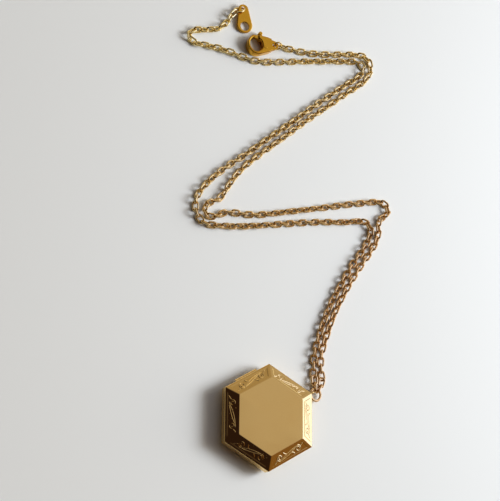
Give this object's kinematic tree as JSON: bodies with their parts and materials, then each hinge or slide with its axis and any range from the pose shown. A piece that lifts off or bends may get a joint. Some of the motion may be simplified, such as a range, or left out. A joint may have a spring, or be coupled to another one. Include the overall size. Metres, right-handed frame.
{
  "type": "hexagonal photo locket necklace",
  "caption": "Small hexagonal locket with bevelled, scroll-engraved covers on a rim hinge, hung by a ring from a folded cable chain with a lobster clasp and an extender tag.",
  "frame": {"origin": "middle of the flat back face, on the surface that the locket lies on", "axes": "+Z out of the front face, +Y from the middle of the case to the corner with the bail ring, -X to the hinge"},
  "size_m": [0.1268, 0.1034, 0.0061],
  "materials": {
    "case": "mirror-polished gold colour, engraved bevels",
    "chain": "polished gold-coloured wire",
    "findings": "polished, deeper gold colour",
    "inside": "satin gold colour",
    "pin": "bright drawn wire",
    "spring": "spring wire",
    "window": "clear sheet"
  },
  "bodies": {
    "back": {"back_cover": "case", "back_hinge_knuckles": "case", "hinge_pin": "pin", "seating_collar": "inside", "catch_bead": "inside", "back_photo_window": "window", "back_photo_frame": "inside", "bail_lug": "case", "bail_links_clasp_side": "chain", "bail_links_tag_side": "chain", "clasp_side_chain": "chain", "tag_side_chain": "chain", "clasp_ring": "chain", "clasp_end_link": "chain", "tag_ring": "chain", "tag_end_link": "chain"},
    "front": {"front_cover": "case", "front_hinge_knuckles": "case", "front_photo_window": "window", "front_photo_frame": "inside"},
    "bail": {"bail_ring": "chain"},
    "clasp": {"clasp_body": "findings", "clasp_pivot": "findings", "clasp_spring": "spring"},
    "lever": {"clasp_lever": "findings"},
    "tag": {"end_tag": "findings"}
  },
  "joints": [
    {"name": "cover_hinge", "type": "hinge", "parent": "back", "child": "front", "pos_m": [-0.01305, 0, 0.0029], "axis": [0, -1, 0], "range_deg": [0, 165]},
    {"name": "bail_swing", "type": "hinge", "parent": "back", "child": "bail", "pos_m": [0, 0.01585, 0.0018], "axis": [1, 0, 0], "range_deg": [-2, 2]},
    {"name": "clasp_swivel", "type": "hinge", "parent": "back", "child": "clasp", "pos_m": [-0.09807, 0.05907, 0.0013], "axis": [0, 0, 1], "range_deg": [-10, 5]},
    {"name": "lever_press", "type": "hinge", "parent": "clasp", "child": "lever", "pos_m": [-0.09843, 0.05557, 0.0013], "axis": [0, 0, -1], "range_deg": [0, 14], "stiffness_Nm_per_rad": 0.01, "springref_deg": -20.05},
    {"name": "tag_swivel", "type": "hinge", "parent": "back", "child": "tag", "pos_m": [-0.1124, 0.05545, 0.00133], "axis": [0.1033, -0.0418, 0.9938], "range_deg": [0, 28]}
  ]
}
